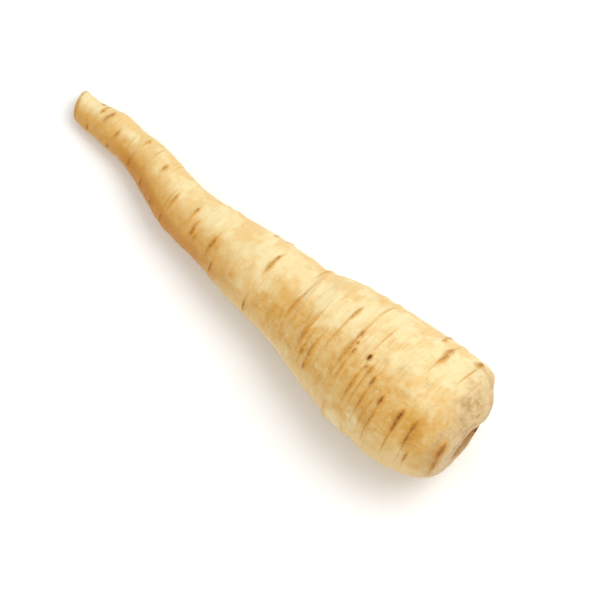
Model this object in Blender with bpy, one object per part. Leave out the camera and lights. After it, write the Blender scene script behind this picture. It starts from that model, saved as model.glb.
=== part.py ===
"""A parsnip, topped and washed, lying on its side: one swollen taproot, and the trimmed
bases of its leaf stalks, which grow from the sunken crown. Metres, +Z up. The root runs
along X with its crown towards +X. It lies on Z = 0 on a flat spot under its belly and a
smaller one under its tail, and the origin is on that surface under the middle of its box.
"""

import math
import random

import bmesh
import bpy
from mathutils import Matrix, Vector, noise

MM = 0.001

# The taproot, from the crown's lip (station 0) to the trimmed tail.
# station, radius, and how far the axis bends to the +Y side, all in mm
LENGTH = 227
GIRTH = (
    (14, 28.0, 0.4), (20, 29.2, -0.9), (28, 29.7, -1.9), (38, 28.8, -2.2),
    (48, 28.0, -2.5), (57, 26.7, -2.5), (67, 25.4, -2.2), (75, 23.8, -2.2),
    (83, 21.2, -2.2), (91, 19.2, -3.0), (102, 18.4, -3.0), (114, 17.4, -3.1),
    (126, 15.6, -3.2), (138, 13.7, -3.4), (151, 12.6, -3.8), (164, 11.7, -2.7),
    (176, 10.7, -0.3), (186, 9.5, 1.9), (197, 8.5, 2.8), (207, 8.7, 3.1),
    (213, 7.6, 2.4), (220, 6.8, 1.8), (LENGTH, 6.7, 2.1),
)
HEIGHT_SHARE = 0.97          # the root is a little flatter than it is wide
LIP_RADIUS = 11.0            # mm, where the crown turns into its hollow
LIP_SHIFT = 0.3              # mm, sideways, because the hollow is off centre
HOLLOW_DEPTH = 8.0           # mm
HOLLOW_ROUND = 2.6           # over 2 gives the hollow steeper walls and a flatter floor
SHOULDER_ROUND = 2.3
TAIL_ROUND = 2.5             # mm, the edge of the trimmed tail
TAIL_BULGE = 0.6             # mm, the rise of its end face
CROWN_LEAN_UP = 5            # degrees, by which the top of the crown stands forward
CROWN_LEAN_SIDE = -8         # degrees, the same towards +Y
LEAN_REACH_UP = 60           # mm from the lip, over which the lean fades out
LEAN_REACH_SIDE = 10
TAIL_SLANT = -20             # degrees, the slant of the cut at the tail
TAIL_REACH = 15              # mm

# Rows of faces round the root and from end to end
SIDES = 44
HOLLOW_ROWS = 7
SHOULDER_ROWS = 8
TAIL_ROWS = 4
CROWN_STEP = 1.75            # mm between rows on the ringed half
TAIL_STEP = 3.3
CROWN_HALF = 112             # mm

# Where it lies
PITCH = 6.9                  # degrees, by which the axis rises towards the crown
BELLY_DIP = 1.3              # mm pressed flat under the belly

# Creases that run round the skin.
# station mm, depth mm, degrees round from +Y over the top, half of the span in degrees,
# and how far the crease slants, in mm of station for each 100 degrees
RINGS = (
    (8, 0.20, 60, 90, 0), (13, 0.35, 40, 80, 1), (18, 0.25, 200, 130, 0), (24, 0.30, 30, 90, -2),
    (31, 0.35, 20, 120, -2), (35, 0.25, 170, 110, 0), (39, 0.30, 80, 120, -2), (43, 0.30, 250, 140, 1),
    (47, 0.35, 120, 120, -1), (51, 0.25, 20, 110, 0), (55, 0.35, 90, 110, -2), (58, 0.80, 185, 50, 1),
    (63, 0.35, 60, 120, -2), (67, 0.30, 180, 120, 0), (71, 0.35, 300, 130, 1), (75, 0.35, 110, 120, -1),
    (80, 0.25, 230, 140, 0), (86, 0.75, 60, 110, -7), (94, 0.30, 200, 110, 2), (99, 0.25, 80, 120, 0),
    (111, 0.60, 15, 70, 0), (119, 0.25, 150, 110, 1), (129, 0.30, 190, 110, 0), (138, 0.25, 60, 110, 1),
    (149, 0.25, 100, 100, 0), (160, 0.25, 160, 110, -1), (172, 0.25, 60, 120, 0), (180, 0.25, 170, 110, 1),
    (189, 0.25, 100, 130, 0), (200, 0.25, 240, 120, 0), (213, 0.30, 40, 110, 1),
)
RING_WIDTH = 1.5             # mm
RING_FADE = 0.55             # share of the half span over which a crease keeps its depth
RING_PUFF = 0.45             # height of the swollen skin beside a crease, for the crease's depth
PUFF_PLACE = 2.0             # widths from the crease
RING_WANDER = 1.4            # mm, how far a ring strays from a true circle
WANDER_LENGTH = 30           # mm

# Scars of side roots: slots across the skin with a raised edge.
# station mm, degrees round from +Y over the top, half length mm, depth mm
SCARS = (
    (9, 141, 6, 0.7), (14, 33, 3, 0.7), (14, 130, 6, 0.9), (21, 124, 6, 1.0), (25, 52, 7, 1.1),
    (30, 122, 7, 0.8), (31, 28, 6, 0.6), (38, 112, 7, 0.9), (45, 97, 4, 1.2), (46, 130, 8, 0.5),
    (53, 96, 7, 0.7), (63, 76, 5, 0.7), (67, 138, 7, 0.6), (74, 120, 7, 0.6), (86, 104, 5, 0.5),
    (106, 82, 6, 0.8), (106, 155, 4, 0.7), (128, 148, 4, 0.6), (133, 120, 5, 0.8), (144, 116, 5, 0.7),
    (150, 92, 3, 0.5), (160, 108, 4, 0.5), (174, 70, 3, 0.7), (188, 142, 3, 0.6), (201, 105, 4, 0.6),
    (209, 76, 3, 0.8), (216, 26, 3, 0.7),
)
HIDDEN_SCARS = 24            # more of them, at random on the far side and the underside
HIDDEN_SIDES = (195, 370)    # degrees
HIDDEN_MARGIN = 12           # mm left free at both ends
HIDDEN_HALF_LENGTH = (3.5, 7.5)
HIDDEN_DEPTH = (0.5, 1.0)
SCAR_SEED = 11
SCAR_WIDTH = 1.3             # mm
SCAR_EDGE = 0.4              # height of the raised edge, for the scar's depth
EDGE_PLACE = 1.8             # widths from the scar, on the crown's side

LUMPS = ((24, 0.9), (9, 0.28))   # wavelength and height in mm of the skin's soft unevenness
LUMP_SEED = Vector((3.1, 7.7, 1.9))

# The leaf stalks' bases
STUB_GAP = 0.35              # mm, clear of the hollow
PAD_DOME = 1.6               # mm, the rise of the pad that they grow from
PAD_DEPTH = 5.2              # mm below the lip, at the pad's edge
PAD_RADIUS = 8.6             # mm, where the pad meets the hollow's floor
# distance from the middle mm, degrees, span in degrees, thickness, height in mm
STUBS = (
    (7.0, 20, 96, 2.2, 4.4), (6.8, 142, 104, 2.1, 3.8), (7.1, 262, 92, 2.2, 5.0),
    (4.4, 78, 112, 1.8, 4.4), (4.5, 205, 108, 1.9, 5.2), (4.3, 325, 104, 1.7, 3.6),
    (2.1, 130, 130, 1.3, 4.8), (2.0, 300, 140, 1.3, 4.2),
)
STUB_LEAN = 0.16             # outward lean of each stub for its height
STUB_SINK = 0.8              # mm, how deep a stub is rooted in the pad
HORN_TAPER = 0.75            # how much thinner a stub is at its horns
CUT_SLANT = 0.3              # how much taller a stub is on its outer side, for its height
CUT_DROP = 0.2               # how much lower it is at its horns

SKIN_COLOUR = (0.80, 0.60, 0.29, 1.0)
SKIN_ROUGHNESS = 0.55
STUB_COLOUR = (0.17, 0.095, 0.035, 1.0)
STUB_ROUGHNESS = 0.85


def clear_scene():
    for thing in list(bpy.data.objects):
        bpy.data.objects.remove(thing)


def collection(name, hidden=False):
    group = bpy.data.collections.new(name)
    group.hide_render = hidden
    bpy.context.scene.collection.children.link(group)
    return group


def material(name, colour, roughness):
    made = bpy.data.materials.new(name)
    made.use_nodes = True
    shader = made.node_tree.nodes["Principled BSDF"]
    shader.inputs["Base Color"].default_value = colour
    shader.inputs["Roughness"].default_value = roughness
    shader.inputs["Metallic"].default_value = 0.0
    made.diffuse_color = colour
    return made


def object_from(bm, name, group, finish):
    mesh = bpy.data.meshes.new(name)
    bm.to_mesh(mesh)
    bm.free()
    mesh.materials.append(finish)
    made = bpy.data.objects.new(name, mesh)
    group.objects.link(made)
    return made


def ease(low, high, value):
    """0 below low, 1 above high, and a smooth step between them."""
    share = min(1.0, max(0.0, (value - low) / (high - low)))
    return share * share * (3 - 2 * share)


def angle_between(a, b):
    """The smaller angle between two directions, in degrees."""
    return abs((a - b + 180) % 360 - 180)


def girth_at(station):
    """Radius and sideways bend at a station, on a smooth curve through the knots of GIRTH."""
    last = len(GIRTH) - 2
    k = next((i for i in range(last) if station < GIRTH[i + 1][0]), last)
    before, start, end, after = GIRTH[max(0, k - 1)], GIRTH[k], GIRTH[k + 1], GIRTH[min(last + 1, k + 2)]
    span = end[0] - start[0]
    t = (station - start[0]) / span
    found = []
    for column in (1, 2):
        out = (end[column] - before[column]) / (end[0] - before[0]) * span
        back = (after[column] - start[column]) / (after[0] - start[0]) * span
        found.append(
            (2 * t**3 - 3 * t**2 + 1) * start[column] + (t**3 - 2 * t**2 + t) * out
            + (3 * t**2 - 2 * t**3) * end[column] + (t**3 - t**2) * back
        )
    return found


def rounded(turn, power):
    """A point on a quarter of a superellipse: turn goes from 0 to 1 along it."""
    quarter = turn * math.pi / 2
    return math.sin(quarter) ** (2 / power), math.cos(quarter) ** (2 / power)


def rows_of_skin():
    """(station, radius, sideways, how rough) of each row, from the middle of the hollow to the tail."""
    rows = []
    for i in range(HOLLOW_ROWS):
        across, down = rounded(i / HOLLOW_ROWS, HOLLOW_ROUND)
        rows.append((HOLLOW_DEPTH * down, LIP_RADIUS * across, LIP_SHIFT, 0.0))
    shoulder, shoulder_radius, shoulder_shift = GIRTH[0]
    for i in range(SHOULDER_ROWS):
        across, up = rounded(i / SHOULDER_ROWS, SHOULDER_ROUND)
        radius = LIP_RADIUS + (shoulder_radius - LIP_RADIUS) * across
        sideways = LIP_SHIFT + (shoulder_shift - LIP_SHIFT) * across
        rows.append((shoulder * (1 - up), radius, sideways, across))
    station = shoulder
    while station < LENGTH - TAIL_ROUND:
        rows.append((station, *girth_at(station), 1.0))
        station += CROWN_STEP if station < CROWN_HALF else TAIL_STEP
    tip_radius, tip_shift = girth_at(LENGTH - TAIL_ROUND)
    for i in range(TAIL_ROWS):
        along, inward = rounded(i / (TAIL_ROWS - 1), 2)
        radius = tip_radius - TAIL_ROUND + TAIL_ROUND * inward
        rows.append((LENGTH - TAIL_ROUND + TAIL_ROUND * along, radius, tip_shift, 0.0))
    rows.append((LENGTH + TAIL_BULGE, 0.0, tip_shift, 0.0))
    return rows


def ring_relief(station, degrees):
    """Creases round the root, each deepest at its own middle, with the skin puffed up beside it."""
    turn = math.radians(degrees)
    wander = RING_WANDER * noise.noise(Vector((math.cos(turn), math.sin(turn), station / WANDER_LENGTH)))
    height = 0.0
    for at, depth, middle, half_span, slant in RINGS:
        turned = (degrees - middle + 180) % 360 - 180
        off = (station + wander - at - slant * turned / 100) / RING_WIDTH
        if abs(off) > 4:
            continue
        shown = 1 - ease(RING_FADE * half_span, half_span, abs(turned))
        puff = RING_PUFF * math.exp(-((abs(off) - PUFF_PLACE) ** 2))
        height += depth * shown * (puff - math.exp(-off * off))
    return height


def hidden_scars():
    """Scars for the sides that SCARS leaves bare, shorter towards the tail."""
    draw = random.Random(SCAR_SEED)
    scars = []
    for i in range(HIDDEN_SCARS):
        share = (i + draw.random()) / HIDDEN_SCARS
        station = HIDDEN_MARGIN + (LENGTH - 2 * HIDDEN_MARGIN) * share
        half_length = draw.uniform(*HIDDEN_HALF_LENGTH) * (1 - 0.5 * share)
        scars.append((station, draw.uniform(*HIDDEN_SIDES), half_length, draw.uniform(*HIDDEN_DEPTH)))
    return scars


def scar_relief(station, degrees, radius, scars):
    """Slots left by side roots, with a low edge raised on the crown's side."""
    height = 0.0
    for at, middle, half_length, depth in scars:
        off = (station - at) / SCAR_WIDTH
        side = radius * math.radians(angle_between(degrees, middle)) / half_length
        if abs(off) > 4 or side > 2:
            continue
        edge = SCAR_EDGE * math.exp(-((off + EDGE_PLACE) ** 2))
        height += depth * math.exp(-(side**4)) * (edge - math.exp(-off * off))
    return height


def lump_relief(point):
    return sum(height * noise.noise(point / wavelength + LUMP_SEED) for wavelength, height in LUMPS)


def relief(station, degrees, radius, scars):
    """How far the skin stands out from the smooth root, in mm."""
    turn = math.radians(degrees)
    point = Vector((station, radius * math.cos(turn), radius * math.sin(turn)))
    marks = ring_relief(station, degrees) + scar_relief(station, degrees, radius, scars)
    return marks + lump_relief(point)


def laid(station, bend, across, up):
    """A point of the straight root, put where it belongs on the lying one. All in mm."""
    x = -station
    x += (1 - ease(0, LEAN_REACH_UP, station)) * math.tan(math.radians(CROWN_LEAN_UP)) * up
    x += (1 - ease(0, LEAN_REACH_SIDE, station)) * math.tan(math.radians(CROWN_LEAN_SIDE)) * across
    x += ease(LENGTH - TAIL_REACH, LENGTH, station) * math.tan(math.radians(TAIL_SLANT)) * across
    point = Vector((x, bend + across, up))
    return Matrix.Rotation(math.radians(-PITCH), 3, "Y") @ point


def taproot_mesh():
    """A sphere's grid, laid row by row along the root, and the shift that puts it on the surface."""
    rows = rows_of_skin()
    scars = list(SCARS) + hidden_scars()
    bm = bmesh.new()
    bmesh.ops.create_uvsphere(bm, u_segments=SIDES, v_segments=len(rows) - 1, radius=1)
    for vert in bm.verts:
        row = round(math.acos(max(-1, min(1, vert.co.z))) / math.pi * (len(rows) - 1))
        turn = math.atan2(vert.co.y, vert.co.x)
        station, radius, bend, rough = rows[row]
        if rough:
            radius += rough * relief(station, math.degrees(turn) % 360, radius, scars)
        vert.co = laid(station, bend, radius * math.cos(turn), HEIGHT_SHARE * radius * math.sin(turn))
    low = Vector([min(v.co[i] for v in bm.verts) for i in range(3)])
    high = Vector([max(v.co[i] for v in bm.verts) for i in range(3)])
    shift = Vector((-(low.x + high.x) / 2, -(low.y + high.y) / 2, -low.z - BELLY_DIP))
    for vert in bm.verts:
        vert.co += shift
        vert.co.z = max(0.0, vert.co.z)
    bmesh.ops.scale(bm, vec=(MM, MM, MM), verts=bm.verts)
    bmesh.ops.recalc_face_normals(bm, faces=bm.faces)
    return bm, shift


def in_hollow(depth, across, up, shift):
    """A point of the crown's hollow, in metres: depth below the lip, and its place across it."""
    return (laid(depth, LIP_SHIFT, across, up * HEIGHT_SHARE) + shift) * MM


def pad_mesh(shift):
    """The low pad at the bottom of the hollow, which follows the hollow's floor with a small gap."""
    bm = bmesh.new()
    bmesh.ops.create_uvsphere(bm, u_segments=32, v_segments=12, radius=1)
    for vert in bm.verts:
        share = math.hypot(vert.co.x, vert.co.y)
        turn = math.atan2(vert.co.y, vert.co.x)
        radius = PAD_RADIUS * share
        wall = 1 - (radius / (LIP_RADIUS - STUB_GAP)) ** HOLLOW_ROUND
        floor = (HOLLOW_DEPTH - STUB_GAP) * wall ** (1 / HOLLOW_ROUND)
        top = PAD_DEPTH - PAD_DOME * (1 - share * share)
        depth = floor if vert.co.z < 0 else top
        vert.co = in_hollow(depth, radius * math.cos(turn), radius * math.sin(turn), shift)
    bmesh.ops.recalc_face_normals(bm, faces=bm.faces)
    return bm


def stub_mesh(distance, degrees, span, thickness, height, shift):
    """One leaf stalk's base: a crescent across, thin at its horns, cut off at a slant."""
    bm = bmesh.new()
    bmesh.ops.create_cube(bm, size=1)
    long_edges = [e for e in bm.edges if abs((e.verts[0].co - e.verts[1].co).x) > 0.5]
    bmesh.ops.subdivide_edges(bm, edges=long_edges, cuts=7, use_grid_fill=True)
    for vert in bm.verts:
        x, y, z = vert.co
        horn = 1 - HORN_TAPER * (2 * x) ** 2
        rise = (z + 0.5) * height * (1 + CUT_SLANT * (y - 0.5)) * (1 - CUT_DROP * (1 - horn))
        turn = math.radians(degrees + span * x)
        radius = distance + thickness * y * horn + STUB_LEAN * rise
        depth = PAD_DEPTH + STUB_SINK - rise
        vert.co = in_hollow(depth, radius * math.cos(turn), radius * math.sin(turn), shift)
    bmesh.ops.recalc_face_normals(bm, faces=bm.faces)
    return bm


def add_taproot(group):
    """The root, and the shift in mm that the leaf stubs share with it."""
    bm, shift = taproot_mesh()
    object_from(bm, "taproot", group, material("parsnip skin", SKIN_COLOUR, SKIN_ROUGHNESS))
    return shift


def add_leaf_stubs(group, cutters, shift):
    finish = material("dried leaf base", STUB_COLOUR, STUB_ROUGHNESS)
    pad = object_from(pad_mesh(shift), "leaf_stubs", group, finish)
    for i, (distance, degrees, span, thickness, height) in enumerate(STUBS):
        stub = stub_mesh(distance, degrees, span, thickness, height, shift)
        object_from(stub, f"stub_{i}", cutters, finish)
    union = pad.modifiers.new("stubs", "BOOLEAN")
    union.operation = "UNION"
    union.solver = "EXACT"
    union.operand_type = "COLLECTION"
    union.collection = cutters


def main():
    clear_scene()
    parsnip = collection("parsnip")
    cutters = collection("stub_pieces", hidden=True)
    shift = add_taproot(parsnip)
    add_leaf_stubs(parsnip, cutters, shift)


main()
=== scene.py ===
# %% [markdown]
# # A parsnip, lying on its side
#
# The CAD holds the root at its real size: where it bends, where it rests, how deep its
# crown is sunken. This notebook gives it its looks. It starts from that frame, adds a
# camera, light and a floor, then grows a fine skin over the root with Geometry Nodes,
# colours it, and fills the crown with what is left of the leaves.

import math
import random

import bmesh
import bpy
import numpy as np
from mathutils import Matrix, Vector, noise


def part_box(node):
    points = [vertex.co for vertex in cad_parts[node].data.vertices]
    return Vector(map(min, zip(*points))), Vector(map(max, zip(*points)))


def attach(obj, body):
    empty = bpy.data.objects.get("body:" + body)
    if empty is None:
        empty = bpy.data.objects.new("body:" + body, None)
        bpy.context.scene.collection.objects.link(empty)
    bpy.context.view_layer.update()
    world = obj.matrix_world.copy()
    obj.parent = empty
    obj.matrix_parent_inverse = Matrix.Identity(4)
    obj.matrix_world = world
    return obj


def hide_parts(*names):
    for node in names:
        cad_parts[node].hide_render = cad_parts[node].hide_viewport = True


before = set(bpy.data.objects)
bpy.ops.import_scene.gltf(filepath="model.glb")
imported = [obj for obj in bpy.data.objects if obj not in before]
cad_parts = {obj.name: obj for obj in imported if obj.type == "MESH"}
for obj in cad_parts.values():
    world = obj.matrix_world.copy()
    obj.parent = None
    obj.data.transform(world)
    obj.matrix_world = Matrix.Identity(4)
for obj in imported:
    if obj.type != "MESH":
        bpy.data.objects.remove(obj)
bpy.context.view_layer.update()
MM = 0.001
root_low, root_high = (np.array(corner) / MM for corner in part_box("taproot"))
print("the solid root reaches from", root_low.round(1), "to", root_high.round(1), "mm")

# %% [markdown]
# ## Camera, light and floor
#
# The root is seen from well above, a little to its crown's side, so that it runs from the
# top left to the bottom right and only a sliver of the crown's hollow shows. A short lens
# held close would swell the crown and shrink the tail, so a long lens looks from far away
# and keeps both at one scale. The light is one large soft lamp high on the right, as in a
# small studio. Most of it comes from a bright white surround instead of more lamps, so
# that the shadows are pale and open.

# %% Aim the camera
CAMERA_AZIMUTH = math.radians(43.3)
CAMERA_ELEVATION = math.radians(73)
CAMERA_DISTANCE = 1.5        # metres
CAMERA_REACH = 20            # metres, beyond which nothing is drawn
SENSOR_WIDTH = 36            # mm
VIEW_WIDTH = 0.252           # metres across the view, at the root
AIM = Vector((0, 0, 0.020))
AIM_RIGHT = 0.0150           # metres that the camera stands to the right of its aim
AIM_UP = -0.0126


def add_object(name, data):
    """A new object in the scene, with a camera, a lamp or a mesh in it."""
    made = bpy.data.objects.new(name, data)
    bpy.context.scene.collection.objects.link(made)
    return made


def camera_axes():
    """The view's right, its up, and the direction back to the camera."""
    a, e = CAMERA_AZIMUTH, CAMERA_ELEVATION
    right = Vector((math.cos(a), math.sin(a), 0))
    back = Vector((math.sin(a) * math.cos(e), -math.cos(a) * math.cos(e), math.sin(e)))
    return right, back.cross(right), back


def add_camera():
    right, up, back = camera_axes()
    data = bpy.data.cameras.new("camera")
    data.sensor_width = SENSOR_WIDTH
    data.lens = SENSOR_WIDTH * CAMERA_DISTANCE / VIEW_WIDTH
    data.clip_end = CAMERA_REACH
    camera = add_object("camera", data)
    camera.matrix_world = Matrix((right, up, back)).transposed().to_4x4()
    camera.location = AIM + back * CAMERA_DISTANCE + right * AIM_RIGHT + up * AIM_UP
    bpy.context.scene.camera = camera
    return camera


camera = add_camera()
print("lens in mm:", round(camera.data.lens))

# %% Light the scene
KEY_DIRECTION = (0.50, 0.38, 0.95)    # to the view's right, up, and back to the camera
KEY_COLOUR = (1.0, 1.0, 0.98)
KEY_WATTS = 6.5
KEY_SIZE = 0.7               # metres
KEY_DISTANCE = 1.1           # metres
SURROUND = 0.82              # how bright the white surround is


def add_key_lamp():
    """A square soft lamp that looks at the root."""
    shares = zip(camera_axes(), KEY_DIRECTION)
    towards = sum((axis * share for axis, share in shares), Vector()).normalized()
    data = bpy.data.lights.new("key lamp", "AREA")
    data.size = KEY_SIZE
    data.energy = KEY_WATTS
    data.color = KEY_COLOUR
    lamp = add_object("key lamp", data)
    lamp.location = AIM + towards * KEY_DISTANCE
    lamp.rotation_euler = towards.to_track_quat("Z", "Y").to_euler()
    return lamp


def add_surround():
    world = bpy.data.worlds.new("studio surround")
    world.use_nodes = True
    inputs = world.node_tree.nodes["Background"].inputs
    inputs["Color"].default_value = (1.0, 1.0, 1.0, 1)
    inputs["Strength"].default_value = SURROUND
    bpy.context.scene.world = world


lamp = add_key_lamp()
add_surround()
bpy.context.scene.view_settings.view_transform = "Standard"
print("key lamp at", [round(v, 2) for v in lamp.location], "metres")

# %% Lay the floor
FLOOR_SIZE = 6.0             # metres
FLOOR_COLOUR = (0.95, 0.95, 0.945, 1)
FLOOR_ROUGHNESS = 0.7


def new_material(name):
    """A new material and the shader in it."""
    made = bpy.data.materials.new(name)
    made.use_nodes = True
    return made, made.node_tree.nodes["Principled BSDF"]


def add_floor():
    bm = bmesh.new()
    bmesh.ops.create_grid(bm, x_segments=1, y_segments=1, size=FLOOR_SIZE / 2)
    mesh = bpy.data.meshes.new("floor")
    bm.to_mesh(mesh)
    bm.free()
    finish, shader = new_material("floor")
    shader.inputs["Base Color"].default_value = FLOOR_COLOUR
    shader.inputs["Roughness"].default_value = FLOOR_ROUGHNESS
    mesh.materials.append(finish)
    return add_object("floor", mesh)


floor = add_floor()
print("floor:", round(floor.dimensions.x, 1), "by", round(floor.dimensions.y, 1), "metres")

# %% [markdown]
# ## The root's form
#
# A parsnip is one swollen root. It could be sculpted, but its form follows a rule: a
# radius for each station along it, from the lip of the crown to the trimmed tail, and an
# axis that bends a little to one side. So it is laid row by row from a formula. Those
# are the values that the CAD was built from, repeated here. The grid is far finer than
# the CAD's, and finest along the root, because everything that the skin carries -
# creases, scars, wrinkles - runs round it and is narrow.

# %% Repeat the root's sizes
LENGTH = 227                 # mm, as all sizes of the root
GIRTH = (                    # station, radius and sideways bend
    (14, 28.0, 0.4), (20, 29.2, -0.9), (28, 29.7, -1.9), (38, 28.8, -2.2),
    (48, 28.0, -2.5), (57, 26.7, -2.5), (67, 25.4, -2.2), (75, 23.8, -2.2),
    (83, 21.2, -2.2), (91, 19.2, -3.0), (102, 18.4, -3.0), (114, 17.4, -3.1),
    (126, 15.6, -3.2), (138, 13.7, -3.4), (151, 12.6, -3.8), (164, 11.7, -2.7),
    (176, 10.7, -0.3), (186, 9.5, 1.9), (197, 8.5, 2.8), (207, 8.7, 3.1),
    (213, 7.6, 2.4), (220, 6.8, 1.8), (LENGTH, 6.7, 2.1),
)
SHOULDER, SHOULDER_RADIUS, SHOULDER_BEND = GIRTH[0]
HEIGHT_SHARE = 0.97          # the root is that much lower than it is wide
LIP_RADIUS = 11.0
LIP_SHIFT = 0.3
HOLLOW_DEPTH = 8.0
HOLLOW_ROUND = 2.6           # power of the hollow's superellipse
SHOULDER_ROUND = 2.3         # and of the shoulder's
TAIL_ROUND = 2.5             # mm, the radius of the tail's edge
TAIL_BULGE = 0.6             # mm by which its cut face stands out in the middle
print("the root is", LENGTH, "mm long and", 2 * max(radius for _, radius, _ in GIRTH), "mm thick")

# %% Find the girth between the stations


def ease(low, high, value):
    """0 at low, 1 at high, and a smooth rise between them."""
    share = min(1.0, max(0.0, (value - low) / (high - low)))
    return share * share * (3 - 2 * share)


def girth_at(station):
    """Radius and sideways bend at a station, on a smooth curve through the knots of GIRTH."""
    last = len(GIRTH) - 2
    k = next((i for i in range(last) if station < GIRTH[i + 1][0]), last)
    before, start, end, after = (GIRTH[i] for i in (max(0, k - 1), k, k + 1, min(last + 1, k + 2)))
    span = end[0] - start[0]
    t = (station - start[0]) / span
    found = []
    for column in (1, 2):
        out = (end[column] - before[column]) / (end[0] - before[0]) * span
        back = (after[column] - start[column]) / (after[0] - start[0]) * span
        found.append(
            (2 * t**3 - 3 * t**2 + 1) * start[column] + (t**3 - 2 * t**2 + t) * out
            + (3 * t**2 - 2 * t**3) * end[column] + (t**3 - t**2) * back
        )
    return found


print("radius and bend at station 90:", [round(v, 1) for v in girth_at(90)], "mm")

# %% Round the crown
PROFILE_POINTS = 400         # in each of the hollow's and the shoulder's curves
PROFILE_STEP = 0.42          # mm between rows on the crown
LIP_ROUND = 2.4              # mm of skin, either side, over which the lip is rounded
LIP_REACH = 6.0


def rounded(turn, power):
    """A point on a quarter of a superellipse: turn goes from 0 to 1 along it."""
    quarter = turn * math.pi / 2
    return math.sin(quarter) ** (2 / power), math.cos(quarter) ** (2 / power)


def crown_line():
    """(station, radius) from the hollow's middle over a sharp lip to the shoulder."""
    line = []
    for i in range(1, PROFILE_POINTS):
        across, down = rounded(i / PROFILE_POINTS, HOLLOW_ROUND)
        line.append((HOLLOW_DEPTH * down, LIP_RADIUS * across))
    for i in range(PROFILE_POINTS + 1):
        across, up = rounded(i / PROFILE_POINTS, SHOULDER_ROUND)
        line.append((SHOULDER * (1 - up), LIP_RADIUS + (SHOULDER_RADIUS - LIP_RADIUS) * across))
    return np.array(line)


def crown_profile():
    """The crown's line in even steps with its lip rounded, and where the steps and the lip lie."""
    line = crown_line()
    length = np.concatenate(([0], np.cumsum(np.linalg.norm(np.diff(line, axis=0), axis=1))))
    at = np.arange(0, length[-1], PROFILE_STEP)
    even = np.stack([np.interp(at, length, line[:, column]) for column in (0, 1)], axis=1)
    lip = at[np.argmin(even[:, 0])]
    reach = np.exp(-(((at - lip) / LIP_REACH) ** 2))
    width = int(LIP_ROUND / PROFILE_STEP)
    weights = np.hanning(2 * width + 3)[1:-1]
    for column in (0, 1):
        padded = np.pad(even[:, column], width, mode="edge")
        smooth = np.convolve(padded, weights / weights.sum(), mode="valid")
        even[:, column] += (smooth - even[:, column]) * reach
    return even, at - length[-1] + SHOULDER, lip


print(len(crown_profile()[0]), "steps over the crown")

# %% Work out one row after another
SIDES = 216                  # points in a row
CROWN_STEP = 0.5             # mm between rows on the ringed half
CROWN_HALF = 112             # mm, where that half ends
TAIL_STEP = 0.75             # mm between rows beyond it
TAIL_ROWS = 8                # round the tail's edge
TAIL_SHARES = (0.8, 0.55, 0.25)       # of the tail's radius, for the rows on its cut face
LEAST_RADIUS = 0.3           # mm, of the hollow's innermost row
INSIDE_FROM = 0.5            # mm along the skin from the lip, where the hollow's wall begins
INSIDE_TO = -6               # and where it is there in full


def crown_rows():
    rows = []
    profile, alongs, lip = crown_profile()
    ats = np.arange(len(profile)) * PROFILE_STEP
    for (station, radius), along, at in zip(profile, alongs, ats):
        share = 0.0
        if at > lip:
            share = max(0.0, (radius - LIP_RADIUS) / (SHOULDER_RADIUS - LIP_RADIUS))
        sideways = LIP_SHIFT + (SHOULDER_BEND - LIP_SHIFT) * share
        inside = 0.0
        if at < lip + INSIDE_FROM:
            inside = ease(lip + INSIDE_FROM, lip + INSIDE_TO, at) * station / HOLLOW_DEPTH
        if radius > LEAST_RADIUS:
            rows.append((station, radius, sideways, share, inside, along))
    return rows


def tail_rows():
    rows = []
    tip_radius, tip_shift = girth_at(LENGTH - TAIL_ROUND)
    flat = tip_radius - TAIL_ROUND
    for i in range(TAIL_ROWS):
        along, inward = rounded(i / (TAIL_ROWS - 1), 2)
        station = LENGTH - TAIL_ROUND + TAIL_ROUND * along
        rows.append((station, flat + TAIL_ROUND * inward, tip_shift, 1 - along, 0.0, station))
    for share in TAIL_SHARES:
        station = LENGTH + TAIL_BULGE * (1 - share * share)
        rows.append((station, flat * share, tip_shift, 0.0, 0.0, station))
    return rows


def rows_of_skin():
    """Station, radius, bend, how rough, how deep in the hollow, and place along the skin."""
    rows = crown_rows()
    station = SHOULDER
    while station < LENGTH - TAIL_ROUND:
        rows.append((station, *girth_at(station), 1.0, 0.0, station))
        station += CROWN_STEP if station < CROWN_HALF else TAIL_STEP
    return rows + tail_rows()


rows = rows_of_skin()
print(len(rows), "rows of", SIDES, "sides:", 2 * len(rows) * SIDES, "triangles")

# %% Lay a point of the straight root where it belongs
CROWN_LEAN_UP = 5            # degrees that the crown leans upwards
LEAN_REACH_UP = 60           # mm over which it does
CROWN_LEAN_SIDE = -8         # and sideways
LEAN_REACH_SIDE = 10
TAIL_SLANT = -20             # degrees of the tail's slanting cut
TAIL_REACH = 15              # mm over which it shows
PITCH = math.radians(6.9)    # by which the root tips onto its belly


def laid(station, bend, across, up):
    """Leans the crown, slants the tail, and tips the root onto its belly. All in mm."""
    x = -station
    x += (1 - ease(0, LEAN_REACH_UP, station)) * math.tan(math.radians(CROWN_LEAN_UP)) * up
    x += (1 - ease(0, LEAN_REACH_SIDE, station)) * math.tan(math.radians(CROWN_LEAN_SIDE)) * across
    x += ease(LENGTH - TAIL_REACH, LENGTH, station) * math.tan(math.radians(TAIL_SLANT)) * across
    return (
        x * math.cos(PITCH) - up * math.sin(PITCH),
        bend + across,
        x * math.sin(PITCH) + up * math.cos(PITCH),
    )


tip = laid(LENGTH, GIRTH[-1][2], 0, 0)
print("the tail's tip lies at", [round(v, 1) for v in tip], "mm from the lip")

# %% Make the root uneven
LUMPS = ((24, 0.9), (9, 0.34), (4.5, 0.10))   # wavelength and height in mm
LUMP_SEED = Vector((3.1, 7.7, 1.9))
SWELLS = (                   # station and reach in mm, degrees and reach, height in mm
    (3.0, 4.5, 28, 34, -0.5), (16.0, 8.0, 196, 36, 1.3), (47.0, 4.0, 180, 30, 0.3),
)


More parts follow.
